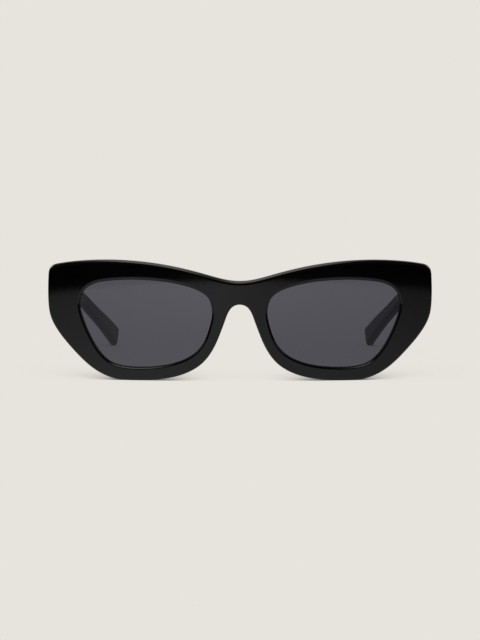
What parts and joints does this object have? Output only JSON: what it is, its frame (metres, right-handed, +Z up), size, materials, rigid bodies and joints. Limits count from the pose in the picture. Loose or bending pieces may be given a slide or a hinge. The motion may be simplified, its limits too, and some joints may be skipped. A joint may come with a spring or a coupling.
{
  "type": "cat eye sunglasses",
  "caption": "Cat-eye sunglasses with a thick polished black acetate front, dark smoke lenses and tapered temples that fold in on metal barrel hinges.",
  "frame": {"origin": "on the table the glasses stand on, on the plane of symmetry, midway between the foremost point of the front and the temple tips", "axes": "+X to the wearer's left, -Y the way the lenses face, +Y back along the open temples, +Z up"},
  "size_m": [0.1448, 0.1597, 0.045],
  "materials": {
    "acetate": "polished black cellulose acetate",
    "lens": "polished smoke-grey lens, about a tenth of the light passes",
    "hinge_metal": "nickel silver, lightly brushed",
    "screw_steel": "turned stainless steel"
  },
  "bodies": {
    "front": {"front_frame": "acetate", "lens_left": "lens", "nose_pad_left": "acetate", "hinge_front_leaf_left": "hinge_metal", "hinge_screw_left": "screw_steel", "front_rivet_inner_left": "screw_steel", "front_rivet_outer_left": "screw_steel", "lens_right": "lens", "nose_pad_right": "acetate", "hinge_front_leaf_right": "hinge_metal", "hinge_screw_right": "screw_steel", "front_rivet_inner_right": "screw_steel", "front_rivet_outer_right": "screw_steel"},
    "temple_left": {"temple_left": "acetate", "core_wire_left": "hinge_metal", "hinge_temple_leaf_left": "hinge_metal", "temple_rivet_front_left": "screw_steel", "temple_rivet_rear_left": "screw_steel"},
    "temple_right": {"temple_right": "acetate", "core_wire_right": "hinge_metal", "hinge_temple_leaf_right": "hinge_metal", "temple_rivet_front_right": "screw_steel", "temple_rivet_rear_right": "screw_steel"}
  },
  "joints": [
    {"name": "temple_left_fold", "type": "hinge", "parent": "front", "child": "temple_left", "pos_m": [0.0653, -0.0632, 0.0348], "axis": [0, 0, 1], "range_deg": [0, 86]},
    {"name": "temple_right_fold", "type": "hinge", "parent": "front", "child": "temple_right", "pos_m": [-0.0653, -0.0632, 0.0348], "axis": [0, 0, -1], "range_deg": [0, 80]}
  ]
}
